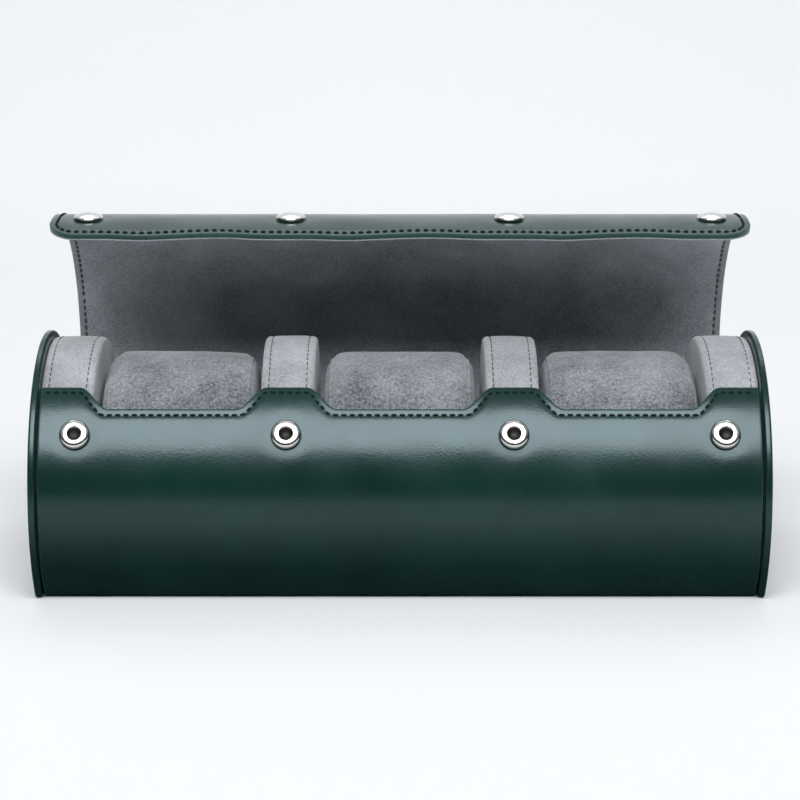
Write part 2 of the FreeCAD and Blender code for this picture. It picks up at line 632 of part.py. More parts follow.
post_hole = Part.makeCylinder(size["post_radius"] + size["post_clearance"],
                              2 * size["overrun"], FreeCAD.Vector(0, 0, -size["overrun"]), AXIS_Z)
flange_hole = Part.makeCylinder(size["back_flange_radius"] + size["post_clearance"],
                                2 * size["overrun"], FreeCAD.Vector(0, 0, -size["overrun"]), AXIS_Z)
keep(pierced("case_leather", leather, [radial(x, post_hole) for x in snap_places]), "case_leather")
keep(pierced("case_board", board, [radial(x, flange_hole) for x in snap_places]), "case_board")

lining_texts = {"radius": SKIN + " - Sizes.skin_leather - Sizes.skin_board",
                "thickness": "Sizes.skin_lining",
                "depth": "Sizes.centre_height - Sizes.skin_leather - Sizes.skin_board",
                "top": "(Sizes.low_angle - Sizes.lining_drop_angle)",
                "rear": board_rear_text}
SLOT_PLACES = (("left", "-" + OUTER_SLOT_X, OUTER_SLOT, -outer_slot_x),
               ("middle", "", MIDDLE_SLOT, 0),
               ("right", OUTER_SLOT_X, OUTER_SLOT, outer_slot_x))
for slot, place_text, width_text, place in SLOT_PLACES:
    lining = bent_sheet(slot + "_slot_lining", skin_wall, size["skin_lining"], lining_texts,
                        size["low_angle"] - size["lining_drop_angle"], board_rear, width_text)
    if place_text:
        bind(lining, Placement__Base__x=place_text)
    keep(lining, slot + "_slot_lining")
    pillow(slot, place)

divider("left_end_divider", "-" + INNER + " / 2")
divider("left_inner_divider", "-" + INNER_DIVIDER_X + " - Sizes.divider_thickness / 2")
divider("right_inner_divider", INNER_DIVIDER_X + " - Sizes.divider_thickness / 2")
divider("right_end_divider", INNER + " / 2 - Sizes.divider_thickness")

sockets()
flap_snaps(flap_centre, opened)

# Check everything, then write each piece.
doc.recompute()
for thing in doc.Objects:
    if "Invalid" in thing.State or "Error" in thing.State:
        raise SystemExit("failed: " + thing.Label)
for node in nodes:
    if node.Shape.isNull() or not node.Shape.isValid():
        raise SystemExit("bad shape: " + node.Label)

os.makedirs("parts", exist_ok=True)
for node in nodes:
    node.Shape.exportStep("parts/%s.step" % node.Label)
print("pieces:", len(nodes))
print("fold line y %.3f z %.3f" % (fold.y, fold.z))
for number in range(1, STRIPS):
    hinge = rim_point(flap_centre, number * strip_open)
    print("bend %d y %.3f z %.3f" % (number, hinge.y, hinge.z))
print("closing turn at the fold %.3f, at each bend %.3f degrees" % (fold_turn, bend_turn))
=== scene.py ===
import json
import math

import bmesh
import bpy
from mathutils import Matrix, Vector, noise
from mathutils.bvhtree import BVHTree


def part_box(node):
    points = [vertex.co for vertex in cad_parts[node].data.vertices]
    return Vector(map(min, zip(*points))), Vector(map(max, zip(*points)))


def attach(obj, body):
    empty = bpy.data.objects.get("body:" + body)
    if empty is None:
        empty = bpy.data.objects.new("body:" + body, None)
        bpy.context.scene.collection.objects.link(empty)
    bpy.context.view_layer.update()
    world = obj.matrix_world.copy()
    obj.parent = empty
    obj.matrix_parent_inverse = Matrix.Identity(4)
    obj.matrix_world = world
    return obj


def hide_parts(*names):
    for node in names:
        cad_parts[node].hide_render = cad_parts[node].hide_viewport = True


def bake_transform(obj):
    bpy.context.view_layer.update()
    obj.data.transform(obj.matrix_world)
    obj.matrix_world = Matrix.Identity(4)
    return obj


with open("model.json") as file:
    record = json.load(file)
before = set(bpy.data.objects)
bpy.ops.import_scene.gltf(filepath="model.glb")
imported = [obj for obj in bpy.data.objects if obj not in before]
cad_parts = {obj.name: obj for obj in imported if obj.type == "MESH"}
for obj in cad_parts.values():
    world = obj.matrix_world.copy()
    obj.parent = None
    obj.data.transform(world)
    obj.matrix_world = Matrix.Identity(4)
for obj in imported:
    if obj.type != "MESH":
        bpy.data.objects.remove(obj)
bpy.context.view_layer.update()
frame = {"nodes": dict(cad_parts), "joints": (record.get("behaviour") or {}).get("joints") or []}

MM = 0.001

# Driving sizes in millimetres and degrees, the same as the CAD model's.
DISC_RADIUS = 50
CENTRE_HEIGHT = 30
CASE_LENGTH = 240
END_THICKNESS = 2.5
FOOT_ROUND = 3.5
RIM_PROUD = 1
WALL_THICKNESS = 2.1
LINING_THICKNESS = 0.6
TAB_ANGLE = 52.8
LOW_ANGLE = 42.8
LINING_DROP = 3
TAB_TOP_WIDTH = 16
TAB_BASE_WIDTH = 30
END_TAB_TOP_WIDTH = 14.7
END_TAB_BASE_WIDTH = 21.5
SNAP_ANGLE = 32
SNAP_RADIUS = 5
END_SNAP_INSET = 12.5
DIVIDER_THICKNESS = 17.5
DIVIDER_RADIUS = 47.2
DIVIDER_BACK = 1.4
DIVIDER_UP = 0.6
MIDDLE_SLOT_EXTRA = 1.6
FLAP_THICKNESS = 2.2
FLAP_RADIUS = 61
FLAP_SIDE_GAP = 0.3
FLAP_CORNER = 9.5
STRIPS = 5

# Sizes in millimetres, and counts, that only the looks need.
GROOVE = 0.5
EDGE_ROUND = 0.5
STITCH_INSET = 2.3
STITCH_PITCH = 2.7
STITCH_LENGTH = 1.95
THREAD_RADIUS = 0.45
DIVIDER_THREAD_RADIUS = 0.2
WALL_THREAD_SINK = 0.16
FLAP_THREAD_SINK = 0.17
LINING_THREAD_SINK = 0.1
ROUTE_STEP = 0.5
SEAM_PRESS = 0.2
LINING_SEAM_PRESS = 0.15
SEAM_PRESS_WIDTH = 0.75
DIMPLE_DEPTH = 0.22
DIMPLE_WIDTH = 2.2
WALL_COLUMN_STEP = 1.3
WALL_ROW_STEP = 1.6
WALL_WAVE = 0.12
TAB_CORNER_REACH = 1.4
SLOT_LINING_STEP = 2
FLAP_COLUMN_STEP = 2.1
FLAP_ROW_STEP = 1.5
FLAP_LINING_INSET = 0.1
FLAP_LINING_ROUND = 0.18
EDGE_WAVE = 0.55
EDGE_WAVE_REACH = 16
BODY_WAVE = 0.10
PAD_GAP = 0.05
DIVIDER_SOFTNESS = 0.22
PIPING_RADIUS = 0.5
PIPING_INSET = 3
RING_SIDES = 6
SOCKET_SIDES = 64
# Distances from a sewn edge at which the sheets have a row of vertices.
EDGE_ROWS = (0, 0.8, 1.6, STITCH_INSET, 3, 3.7, 4.5, 5.6, 7.2, 9.5)

SKIN_RADIUS = DISC_RADIUS - RIM_PROUD
INNER_LENGTH = CASE_LENGTH - 2 * END_THICKNESS
OUTER_SLOT = (INNER_LENGTH - 4 * DIVIDER_THICKNESS - MIDDLE_SLOT_EXTRA) / 3
MIDDLE_SLOT = OUTER_SLOT + MIDDLE_SLOT_EXTRA
INNER_DIVIDER_X = (MIDDLE_SLOT + DIVIDER_THICKNESS) / 2
END_SNAP_X = INNER_LENGTH / 2 - END_SNAP_INSET
SNAP_PLACES = (-END_SNAP_X, -INNER_DIVIDER_X, INNER_DIVIDER_X, END_SNAP_X)
FLOOR_TOP = WALL_THICKNESS + LINING_THICKNESS
FLAP_WIDTH = INNER_LENGTH - 2 * FLAP_SIDE_GAP


# Small helpers.
def smoothstep(value):
    value = max(0.0, min(1.0, value))
    return value * value * (3 - 2 * value)


def bump(distance, width):
    return math.exp(-(distance / width) ** 2)


def wobble(point, scale, seed):
    """Smooth seeded noise between -1 and 1; point is in millimetres."""
    return noise.noise(Vector(point) / scale + Vector((seed, seed, seed)))


def steps(first, last, step):
    """Evenly spaced values from first to last, both included."""
    count = max(1, round(abs(last - first) / step))
    return [first + (last - first) * number / count for number in range(count + 1)]


def finish_mesh(name, bm, materials):
    """Turn a mesh made in millimetres into an object in metres."""
    bmesh.ops.scale(bm, vec=(MM, MM, MM), verts=bm.verts)
    bmesh.ops.recalc_face_normals(bm, faces=bm.faces)
    mesh = bpy.data.meshes.new(name)
    bm.to_mesh(mesh)
    bm.free()
    for material in materials:
        mesh.materials.append(material)
    for polygon in mesh.polygons:
        polygon.use_smooth = True
    made = bpy.data.objects.new(name, mesh)
    bpy.context.scene.collection.objects.link(made)
    return made


def bridge(bm, first, second, closed=True, material=0):
    """Faces between two rows of vertices of the same length."""
    count = len(first)
    for number in range(count if closed else count - 1):
        after = (number + 1) % count
        face = bm.faces.new((first[number], first[after], second[after], second[number]))
        face.material_index = material


# Materials.
def new_material(name):
    material = bpy.data.materials.new(name)
    material.use_nodes = True
    tree = material.node_tree
    return material, tree, tree.nodes["Principled BSDF"]


def add(tree, kind, **values):
    node = tree.nodes.new(kind)
    for name, value in values.items():
        if name in node.inputs:
            node.inputs[name].default_value = value
        else:
            setattr(node, name, value)
    return node


def place_of(tree):
    return add(tree, "ShaderNodeTexCoord").outputs["Object"]


def ramp(tree, source, stops):
    """A colour ramp over the stops (position, colour)."""
    node = add(tree, "ShaderNodeValToRGB")
    elements = node.color_ramp.elements
    while len(elements) < len(stops):
        elements.new(0.5)
    for element, (position, colour) in zip(elements, stops):
        element.position = position
        element.color = (*colour, 1)
    tree.links.new(source, node.inputs["Fac"])
    return node.outputs["Color"]


def cloth_noise(tree, scale, detail=3, rough=0.55):
    node = add(tree, "ShaderNodeTexNoise", Scale=scale, Detail=detail, Roughness=rough)
    tree.links.new(place_of(tree), node.inputs["Vector"])
    return node.outputs["Fac"]


def add_bump(tree, shader, heights):
    """Chain bumps of (height, strength, distance in metres) into the shader."""
    normal = None
    for height, strength, distance in heights:
        node = add(tree, "ShaderNodeBump", Strength=strength, Distance=distance)
        tree.links.new(height, node.inputs["Height"])
        if normal is not None:
            tree.links.new(normal, node.inputs["Normal"])
        normal = node.outputs["Normal"]
    tree.links.new(normal, shader.inputs["Normal"])


def leather_material(name, dark, light, roughness):
    """Smooth coated leather: cloudy colour, a very fine pebble and soft creases."""
    material, tree, shader = new_material(name)
    cloud = cloth_noise(tree, 26, detail=5, rough=0.6)
    fine = cloth_noise(tree, 900, detail=2)
    colour = ramp(tree, cloud, ((0.3, dark), (0.72, light)))
    tree.links.new(colour, shader.inputs["Base Color"])
    shine = ramp(tree, cloth_noise(tree, 60, detail=4),
                 ((0.25, (roughness - 0.05,) * 3), (0.8, (roughness + 0.07,) * 3)))
    tree.links.new(shine, shader.inputs["Roughness"])
    shader.inputs["IOR"].default_value = 1.5
    shader.inputs["Specular Tint"].default_value = (0.74, 0.91, 1.0, 1)
    shader.inputs["Coat Weight"].default_value = 0.12
    shader.inputs["Coat Roughness"].default_value = 0.2
    pebble = add(tree, "ShaderNodeTexVoronoi", Scale=1500)
    tree.links.new(place_of(tree), pebble.inputs["Vector"])
    crease = cloth_noise(tree, 120, detail=4, rough=0.5)
    add_bump(tree, shader, ((crease, 0.08, 0.0006),
                            (pebble.outputs["Distance"], 0.10, 0.0002),
                            (fine, 0.06, 0.0003)))
    return material


def suede_material(name, dark, light, nap=1.0, grain=1300, spread=0.17):
    """Short-napped suede: speckled fibres, brushed patches and a soft sheen."""
    material, tree, shader = new_material(name)
    patches = cloth_noise(tree, 45, detail=4, rough=0.6)
    speckle = cloth_noise(tree, grain, detail=3, rough=0.7)
    fibre = cloth_noise(tree, 2 * grain, detail=2, rough=0.6)
    # The colour follows patch_share of the patches and speckle_share of the speckle.
    patch_share, speckle_share = 0.45, 0.6
    middle = 0.51
    mixed = add(tree, "ShaderNodeMath", operation="MULTIPLY_ADD")
    mixed.inputs[1].default_value = patch_share
    tree.links.new(patches, mixed.inputs[0])
    scaled = add(tree, "ShaderNodeMath", operation="MULTIPLY")
    scaled.inputs[1].default_value = speckle_share
    tree.links.new(speckle, scaled.inputs[0])
    tree.links.new(scaled.outputs["Value"], mixed.inputs[2])
    colour = ramp(tree, mixed.outputs["Value"],
                  ((middle - spread, dark), (middle + spread, light)))
    tree.links.new(colour, shader.inputs["Base Color"])
    shader.inputs["Roughness"].default_value = 0.95
    shader.inputs["Specular IOR Level"].default_value = 0.15
    shader.inputs["Sheen Weight"].default_value = 0.35
    shader.inputs["Sheen Roughness"].default_value = 0.45
    add_bump(tree, shader, ((patches, 0.2, 0.0008), (speckle, 0.55 * nap, 0.0005),
                            (fibre, 0.35 * nap, 0.0003)))
    return material


def metal_material(name, colour, roughness):
    material, tree, shader = new_material(name)
    shader.inputs["Base Color"].default_value = (*colour, 1)
    shader.inputs["Metallic"].default_value = 1
    scratches = cloth_noise(tree, 700, detail=5, rough=0.7)
    shine = ramp(tree, scratches, ((0.3, (roughness * 0.7,) * 3), (0.8, (roughness * 1.6,) * 3)))
    tree.links.new(shine, shader.inputs["Roughness"])
    add_bump(tree, shader, ((scratches, 0.04, 0.0001),))
    return material


def thread_material(name, colour):
    """Dull waxed thread whose twist shows as a fine slanted ripple."""
    material, tree, shader = new_material(name)
    twist = add(tree, "ShaderNodeTexWave", Scale=900, Distortion=2)
    tree.links.new(place_of(tree), twist.inputs["Vector"])
    darker = tuple(part * 0.6 for part in colour)
    tree.links.new(ramp(tree, twist.outputs["Fac"], ((0.1, darker), (0.9, colour))),
                   shader.inputs["Base Color"])
    shader.inputs["Roughness"].default_value = 0.6
    shader.inputs["Specular IOR Level"].default_value = 0.1
    add_bump(tree, shader, ((twist.outputs["Fac"], 0.3, 0.0001),))
    return material


GREEN = leather_material("green_leather", (0.002, 0.016, 0.0125), (0.0045, 0.027, 0.021), 0.24)
GREEN_EDGE = leather_material("green_leather_edge", (0.007, 0.036, 0.028),
                              (0.014, 0.056, 0.045), 0.28)
# The three suedes are one fabric in lit and shaded copies. The divider copy is painted lighter as
# painted light. The pillow copy, also used on the slot floors and the piping, is painted darker as
# painted shade. The flap's lining copy is painted lighter against the shade it sits in.
DIVIDER_SUEDE_PAINTED_LIGHT = suede_material("divider_suede", (0.165, 0.172, 0.188), (0.46, 0.472, 0.50))
PILLOW_SUEDE_PAINTED_SHADE = suede_material("pillow_suede", (0.05, 0.053, 0.062), (0.33, 0.343, 0.377),
                              nap=1.6, grain=1050, spread=0.14)
FLAP_SUEDE_PAINTED_LIGHT = suede_material("flap_suede", (0.19, 0.199, 0.218), (0.51, 0.532, 0.572), 0.8)
FLAP_BAND = suede_material("flap_suede_band", (0.20, 0.207, 0.224), (0.42, 0.435, 0.47), 0.8)
NICKEL = metal_material("nickel", (0.82, 0.81, 0.78), 0.14)
# Nearly black metal for the inside of the socket holes: painted shade in the hole.
HOLE_METAL_PAINTED_SHADE = metal_material("socket_hole_painted_shade", (0.045, 0.043, 0.04), 0.5)
# Steel for the springs inside the sockets: darker than the nickel as steel, and darkened further as
# painted shade in the hole.
SPRING_PAINTED_SHADE = metal_material("spring_steel", (0.20, 0.19, 0.18), 0.35)
GREEN_THREAD = thread_material("green_thread", (0.004, 0.020, 0.016))
GREY_THREAD = thread_material("grey_thread", (0.120, 0.124, 0.137))


# Outlines of the round pieces: a circle cut off flat at its foot, with rounded foot corners.
def arc_angles(first, last, count):
    return [first + (last - first) * number / count for number in range(count + 1)]


def footed_outline(radius, foot, corner, centre):
    """Points (y, z) from the foot's front corner over the top to the back and along the foot."""
    across = math.sqrt((radius - corner) ** 2 - (foot - corner) ** 2)
    turn = math.degrees(math.atan2(corner - foot, across))
    points = []
    for angle in arc_angles(180 - turn, turn, 130):
        around = math.radians(angle)
        points.append((radius * math.cos(around), radius * math.sin(around)))
    for angle in arc_angles(turn, -90, 6)[1:]:
        points.append((across + corner * math.cos(math.radians(angle)),
                       corner - foot + corner * math.sin(math.radians(angle))))
    for share in arc_angles(1, -1, 20)[1:-1]:
        points.append((across * share, -foot))
    for angle in arc_angles(-90, -180 - turn, 6)[:-1]:
        points.append((-across + corner * math.cos(math.radians(angle)),
                       corner - foot + corner * math.sin(math.radians(angle))))
    return [(y + centre[0], z + centre[1] + CENTRE_HEIGHT) for y, z in points]


def footed_loft(name, stations, radius, foot, corner, centre, materials, seed=0.0, soft=0.0):
    """A closed body through stations (x, inset); both ends are filled towards their middle."""
    bm = bmesh.new()
    loops = []
    for x, inset in stations:
        outline = footed_outline(radius - inset, foot - inset, max(corner - inset, 0.4), centre)
        loop = []
        for y, z in outline:
            lift = soft * wobble((x, y, z), 14, seed)
            away = Vector((y - centre[0], z - centre[1] - CENTRE_HEIGHT)).normalized()
            loop.append(bm.verts.new((x, y + away.x * lift, z + away.y * lift)))
        loops.append(loop)
    for first, second in zip(loops, loops[1:]):
        bridge(bm, first, second)
    middle = (centre[0], centre[1] + CENTRE_HEIGHT + (radius - foot) / 2)
    for loop in (loops[0], loops[-1]):
        inner = loop
        for share in (0.86, 0.6, 0.3):
            ring = []
            for vert in loop:
                ring.append(bm.verts.new((vert.co.x, middle[0] + (vert.co.y - middle[0]) * share,
                                          middle[1] + (vert.co.z - middle[1]) * share)))
            bridge(bm, inner, ring)
            inner = ring
        bm.faces.new(inner)
    return finish_mesh(name, bm, materials)


# The end discs: leather turned over a board, one piece each. Depth from the outer face, and inset.
END_PROFILE = ((0, 3), (0, 1.4), (0.04, 0.8), (0.14, 0.38), (0.36, 0.1), (0.72, 0), (1.75, 0),
               (2.12, 0.1), (2.34, 0.38), (2.46, 0.8), (2.5, 1.5), (2.5, 5))


def end_disc(side, sign):
    stations = [(sign * (CASE_LENGTH / 2 - depth), inset) for depth, inset in END_PROFILE]
    disc = footed_loft(side + "_end_disc", stations, DISC_RADIUS, CENTRE_HEIGHT, FOOT_ROUND,
                       (0, 0), [GREEN])
    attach(disc, "case")
    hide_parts(side + "_end_leather", side + "_end_board")


# Stitches: short threads laid along a route and sunk a little at both ends. A section's place along
# the thread is a share of its length; how far it sinks and its girth are shares of the radius.
THREAD_SECTIONS = ((-0.5, -0.9, 0.55), (-0.36, 0.0, 0.95), (0, 0.35, 1.0), (0.36, 0.0, 0.95),
                   (0.5, -0.9, 0.55))


def thread_ring(bm, middle, side, up, radius):
    ring = []
    for number in range(RING_SIDES):
        angle = math.tau * number / RING_SIDES
        ring.append(bm.verts.new(middle + side * (radius * math.cos(angle))
                                 + up * (radius * math.sin(angle))))
    return ring


def stitches(name, route, material, radius=THREAD_RADIUS):
    """Lay stitches along a route of (point, normal) pairs in millimetres, a pitch apart."""
    bm = bmesh.new()
    travelled = 0.0
    target = STITCH_PITCH / 2
    for (start, normal), (end, _) in zip(route, route[1:]):
        span = (end - start).length
        while span and travelled + span >= target:
            middle = start.lerp(end, (target - travelled) / span)
            along = (end - start).normalized()
            side = along.cross(normal).normalized()
            rings = []
            for share, sink, girth in THREAD_SECTIONS:
                place = middle + along * (STITCH_LENGTH * share) + normal * (radius * sink)
                rings.append(thread_ring(bm, place, side, normal, radius * girth))
            for first, second in zip(rings, rings[1:]):
                bridge(bm, first, second)
            bm.faces.new(rings[0])
            bm.faces.new(rings[-1])
            target += STITCH_PITCH
        travelled += span
    return finish_mesh(name, bm, [material])


# A thick sheet is made flat, with rounded rims, and then bent.
def plate(columns, rows, place, thickness, rim_round, own_edge=False):
    """A grid of place(column, row) -> (x, s) with a thickness below it, its rims rounded."""
    bm = bmesh.new()
    top, below = [], []
    for row in rows:
        places = [place(column, row) for column in columns]
        top.append([bm.verts.new((x, s, 0)) for x, s in places])
        below.append([bm.verts.new((x, s, -thickness)) for x, s in places])
    for grid in (top, below):
        for first, second in zip(grid, grid[1:]):
            bridge(bm, first, second, closed=False)
    rims = []
    borders = (([row[0] for row in top], [row[0] for row in below]),
               ([row[-1] for row in top], [row[-1] for row in below]),
               (top[0], below[0]), (top[-1], below[-1]))
    for upper, lower in borders:
        bridge(bm, upper, lower, closed=False, material=1 if own_edge else 0)
        rims.extend(zip(upper, upper[1:]))
        rims.extend(zip(lower, lower[1:]))
    bmesh.ops.recalc_face_normals(bm, faces=bm.faces)
    edges = [bm.edges.get(pair) for pair in rims]
    bmesh.ops.bevel(bm, geom=edges, offset=rim_round, offset_type="OFFSET", segments=3,
                    profile=0.5, affect="EDGES", clamp_overlap=True,
                    material=1 if own_edge else -1)
    return bm


def bend_plate(bm, bent):
    """Move every vertex (x, s, depth) of a flat plate to bent(x, s, depth)."""
    for vert in bm.verts:
        vert.co = bent(vert.co.x, vert.co.y, vert.co.z)


# The flap's middle line at rest: one arc from the fold on, through the places of the bends.
def joint_place(name):
    """A joint's place (y, z) in millimetres."""
    joint = [candidate for candidate in frame["joints"] if candidate["name"] == name][0]
    return Vector((joint["pos_m"][1], joint["pos_m"][2])) / MM


FOLD_PLACE = joint_place("flap_fold")
FIRST_CHORD = joint_place("flap_bend_1") - FOLD_PLACE
STRIP_ANGLE = 2 * math.asin(FIRST_CHORD.length / 2 / FLAP_RADIUS)
STRIP_LENGTH = STRIP_ANGLE * FLAP_RADIUS
FLAP_LENGTH = STRIPS * STRIP_LENGTH
PATH_STEP = 0.25


def trace_flap():
    """The middle of the flap's thickness from the fold on: points and directions, a step apart."""
    point = FOLD_PLACE.copy()
    direction = math.atan2(FIRST_CHORD.y, FIRST_CHORD.x) - STRIP_ANGLE / 2
    turn = PATH_STEP / FLAP_RADIUS
    points, directions = [point.copy()], [direction]
    distance = 0.0
    while distance < FLAP_LENGTH + PATH_STEP:
        middle = direction + turn / 2
        point += Vector((math.cos(middle), math.sin(middle))) * PATH_STEP
        direction += turn
        distance += PATH_STEP
        points.append(point.copy())
        directions.append(direction)
    return points, directions


PATH_POINTS, PATH_DIRECTIONS = trace_flap()


def along_flap(u):
    """The middle line's point and direction at a distance u from the fold."""
    place = min(max(u / PATH_STEP, 0), len(PATH_POINTS) - 1.001)
    number = math.floor(place)
    share = place - number
    point = PATH_POINTS[number].lerp(PATH_POINTS[number + 1], share)
    direction = PATH_DIRECTIONS[number] * (1 - share) + PATH_DIRECTIONS[number + 1] * share
    return point, direction


def flap_surface(u, depth):
    """The flap's point at a distance u from the fold; depth is below 0 inside its outer face."""
    point, direction = along_flap(u)
    outward = Vector((math.sin(direction), -math.cos(direction)))
    return point + outward * (FLAP_THICKNESS / 2 + depth)


# The path of the case's outer leather: the flat base, the rounded corner and the round front.
CORNER_Y = math.sqrt((SKIN_RADIUS - FOOT_ROUND) ** 2 - (CENTRE_HEIGHT - FOOT_ROUND) ** 2)
CORNER_TURN = math.degrees(math.atan2(CENTRE_HEIGHT - FOOT_ROUND, CORNER_Y))
FOLD_SPAN = 4
BASE_REAR = 37.5


def wall_path(s, depth):
    """The point (y, z) at a distance s along the base and up the front; depth is below 0 inside."""
    base = BASE_REAR + CORNER_Y
    corner = math.radians(90 - CORNER_TURN) * FOOT_ROUND
    if s <= base:
        return BASE_REAR - s, -depth
    if s <= base + corner:
        angle = math.radians(-90) - (s - base) / FOOT_ROUND
        reach = FOOT_ROUND + depth
        return -CORNER_Y + reach * math.cos(angle), FOOT_ROUND + reach * math.sin(angle)
    angle = math.radians(180 + CORNER_TURN) - (s - base - corner) / SKIN_RADIUS
    reach = SKIN_RADIUS + depth
    return reach * math.cos(angle), CENTRE_HEIGHT + reach * math.sin(angle)


def wall_length(elevation):
    """The distance along the wall's path up to an elevation in degrees on the round front."""
    corner = math.radians(90 - CORNER_TURN) * FOOT_ROUND
    return BASE_REAR + CORNER_Y + corner + math.radians(CORNER_TURN + elevation) * SKIN_RADIUS


def tab_share(x):
    """1 on a tab's top, 0 on a slot's low edge, between them on the slanted sides."""
    from_divider = abs(abs(x) - INNER_DIVIDER_X)
    slant = (TAB_BASE_WIDTH - TAB_TOP_WIDTH) / 2
    inner_share = (TAB_BASE_WIDTH / 2 - from_divider) / slant
    from_end = INNER_LENGTH / 2 - abs(x)
    end_slant = END_TAB_BASE_WIDTH - END_TAB_TOP_WIDTH
    end_share = (END_TAB_BASE_WIDTH - from_end) / end_slant
    return max(0.0, min(1.0, max(inner_share, end_share)))


def wall_top(x):
    """The wall's upper edge, with the corners of its tabs a little rounded."""
    spread = [tab_share(x + offset) for offset in steps(-TAB_CORNER_REACH, TAB_CORNER_REACH, 0.2)]
    share = sum(spread) / len(spread)
    return wall_length(LOW_ANGLE) + (wall_length(TAB_ANGLE) - wall_length(LOW_ANGLE)) * share


def wall_slope(x):
    """How far the upper edge rises over one millimetre along X."""
    return wall_top(x + 0.5) - wall_top(x - 0.5)


def snap_dimple(x, along, snap_along):
    """How far the leather is drawn down round the snaps."""
    drop = 0.0
    for snap_x in SNAP_PLACES:
        distance = math.hypot(x - snap_x, along - snap_along)
        drop += DIMPLE_DEPTH * bump(max(distance - SNAP_RADIUS, 0), DIMPLE_WIDTH)
    return drop


def front_wall():
    half = INNER_LENGTH / 2 - GROOVE
    columns = steps(-half, half, WALL_COLUMN_STEP)
    low = wall_length(LOW_ANGLE) - EDGE_ROWS[-1] - 1.5
    rows = [("plain", s) for s in steps(0, low, WALL_ROW_STEP)]
    rows += [("edge", inset) for inset in reversed(EDGE_ROWS)]

    def place(x, row):
        kind, value = row
        if kind == "plain":
            return x, value
        blend = value / EDGE_ROWS[-1]
        top = wall_top(x) * (1 - blend) + wall_length(LOW_ANGLE) * blend
        return x, top - value

    bm = plate(columns, rows, place, WALL_THICKNESS, EDGE_ROUND, own_edge=True)
    snap_along = wall_length(SNAP_ANGLE)

    def bent(x, s, depth):
        above = 1 + depth / WALL_THICKNESS
        away = (wall_top(x) - s) / math.sqrt(1 + wall_slope(x) ** 2)
        if s > BASE_REAR + CORNER_Y + FOOT_ROUND:
            press = SEAM_PRESS * bump(away - STITCH_INSET, SEAM_PRESS_WIDTH)
            press += snap_dimple(x, s, snap_along) - WALL_WAVE * wobble((x, s, 0), 22, 3.1)
            depth -= above * press
        y, z = wall_path(s, depth)
        return Vector((x, y, z))

    bend_plate(bm, bent)
    wall = finish_mesh("front_and_base", bm, [GREEN, GREEN_EDGE])
    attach(wall, "case")
    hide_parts("case_leather", "case_board")

    route = []
    for x in steps(-half + 1.2, half - 1.2, 0.4):
        s = wall_top(x) - STITCH_INSET * math.sqrt(1 + wall_slope(x) ** 2)
        y, z = wall_path(s, -WALL_THREAD_SINK)
        high_y, high_z = wall_path(s, 1)
        route.append((Vector((x, y, z)), Vector((0, high_y - y, high_z - z)).normalized()))
    seam = stitches("front_stitching", route, GREEN_THREAD)
    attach(seam, "case")


def slot_lining(slot, middle, width):
    """The suede on the floor and front of one slot."""
    half = width / 2 - 0.1
    columns = steps(middle - half, middle + half, SLOT_LINING_STEP)
    rows = steps(0.5, wall_length(LOW_ANGLE - LINING_DROP), SLOT_LINING_STEP)
    bm = plate(columns, rows, lambda x, s: (x, s), LINING_THICKNESS, 0.2)

    def bent(x, s, depth):
        y, z = wall_path(s, depth - WALL_THICKNESS)
        return Vector((x, y, z))

    bend_plate(bm, bent)
    lining = finish_mesh(slot + "_slot_suede", bm, [PILLOW_SUEDE_PAINTED_SHADE])
    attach(lining, "case")
    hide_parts(slot + "_slot_lining")


# The flap: a flat pattern with a rounded free edge, bent to the open curve and cut halfway
# between its joints.
def fold_turn():
    """The smooth turn of the outer face from the base into the flap: its start, knee and end."""
    end = flap_surface(FOLD_SPAN, 0)
    direction = along_flap(FOLD_SPAN)[1]
    return Vector((BASE_REAR, 0)), Vector((end.x - end.y / math.tan(direction), 0)), end


def fold_start():
    """The distance before the fold at which the flap's leather leaves the base."""
    start, knee, end = fold_turn()
    return FOLD_SPAN - (knee - start).length - (end - knee).length


def flap_path(u, depth):
    """The point (y, z) at a distance u from the fold along the flap; u below 0 is on the base."""
    if u >= FOLD_SPAN:
        point = flap_surface(u, depth)
        return point.x, point.y
    start, knee, end = fold_turn()
    first = fold_start()
    share = max(0.0, min(1.0, (u - first) / (FOLD_SPAN - first)))
    point = start * (1 - share) ** 2 + knee * (2 * share * (1 - share)) + end * share ** 2
    along = ((knee - start) * (1 - share) + (end - knee) * share).normalized()
    return point.x + depth * along.y, point.y - depth * along.x


def corner_place(x, u, half, length, radius):
    """Round the two corners of the free edge by mapping each corner's square to a quarter disc."""
    across = (abs(x) - (half - radius)) / radius
    outward = (u - (length - radius)) / radius
    if across > 0 and outward > 0:
        new_across = across * math.sqrt(1 - outward ** 2 / 2)
        new_outward = outward * math.sqrt(1 - across ** 2 / 2)
        x = math.copysign(half - radius + radius * new_across, x)
        u = length - radius + radius * new_outward
    return x, u


def edge_distance(x, u, half, length, radius):
    """How far a place on the flap is from its sides and its free edge."""
    across = abs(x) - (half - radius)
    outward = u - (length - radius)
    if across > 0 and outward > 0:
        return radius - math.hypot(across, outward)
    return radius - max(across, outward)


def flap_columns(half):
    near = EDGE_ROWS[:-1]
    middle = steps(-half + EDGE_ROWS[-1], half - EDGE_ROWS[-1], FLAP_COLUMN_STEP)
    return [-half + inset for inset in near] + middle + [half - inset for inset in reversed(near)]


def flap_rows(start, length):
    """Rows along the flap, with one on each cut and close rows beside it."""
    cuts = [(number + 0.5) * STRIP_LENGTH for number in range(STRIPS)]
    near = [length - inset for inset in EDGE_ROWS]
    marks = [start] + cuts + [near[-1]]
    rows = []
    for first, last in zip(marks, marks[1:]):
        rows.extend(steps(first, last, FLAP_ROW_STEP)[:-1])
    for cut in cuts:
        rows.extend((cut - 0.08, cut + 0.08))
    rows.extend(near)
    return sorted(set(rows))


